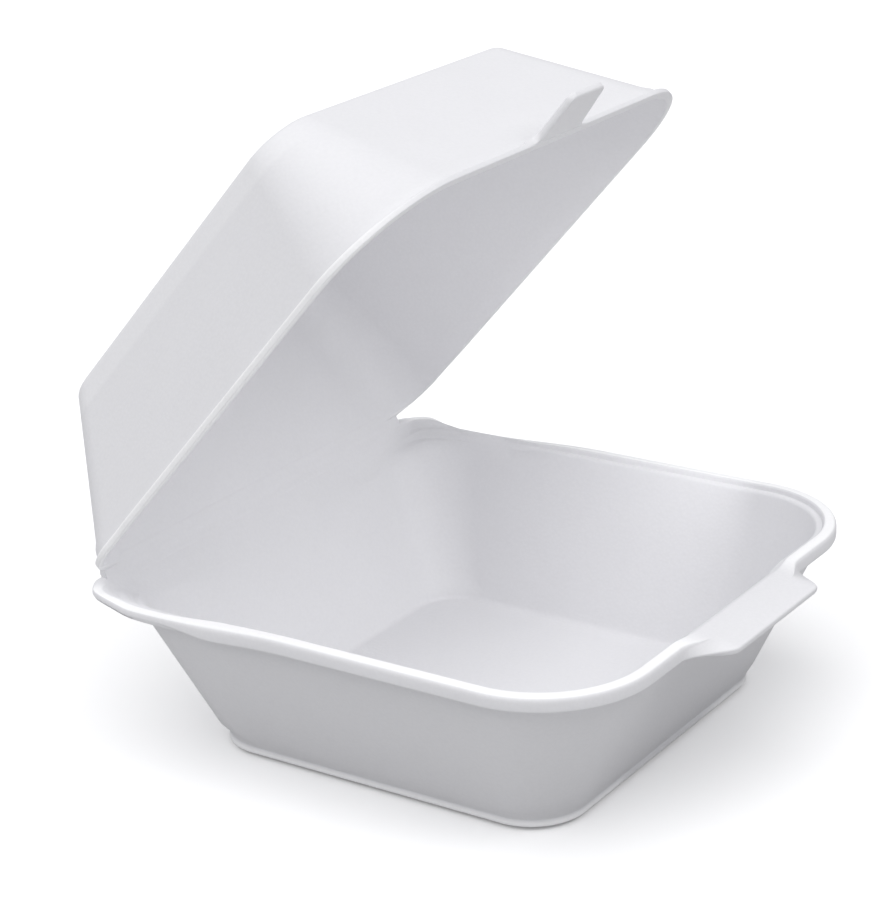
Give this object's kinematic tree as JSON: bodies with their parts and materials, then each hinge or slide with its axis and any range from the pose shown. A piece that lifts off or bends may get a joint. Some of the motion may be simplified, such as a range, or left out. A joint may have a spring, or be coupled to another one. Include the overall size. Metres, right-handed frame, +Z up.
{
  "type": "foam clamshell container",
  "caption": "Square hinged foam food container with a deep sloping tray, a domed lid held open at an angle, a pull flap and a closing tongue.",
  "frame": {"origin": "centre of the tray's underside", "axes": "+Z up, +Y towards the hinge at the back, -Y towards the pull flap at the front, +X to the right seen from the front"},
  "size_m": [0.13, 0.1556, 0.1475],
  "materials": {
    "foam": "smooth-skinned white polystyrene foam, satin"
  },
  "bodies": {
    "tray": {"tray": "foam"},
    "lid": {"lid": "foam"}
  },
  "joints": [
    {"name": "lid_hinge", "type": "hinge", "parent": "tray", "child": "lid", "pos_m": [0, 0.06515, 0.04055], "axis": [-1, 0, 0], "range_deg": [-48, 132]}
  ]
}
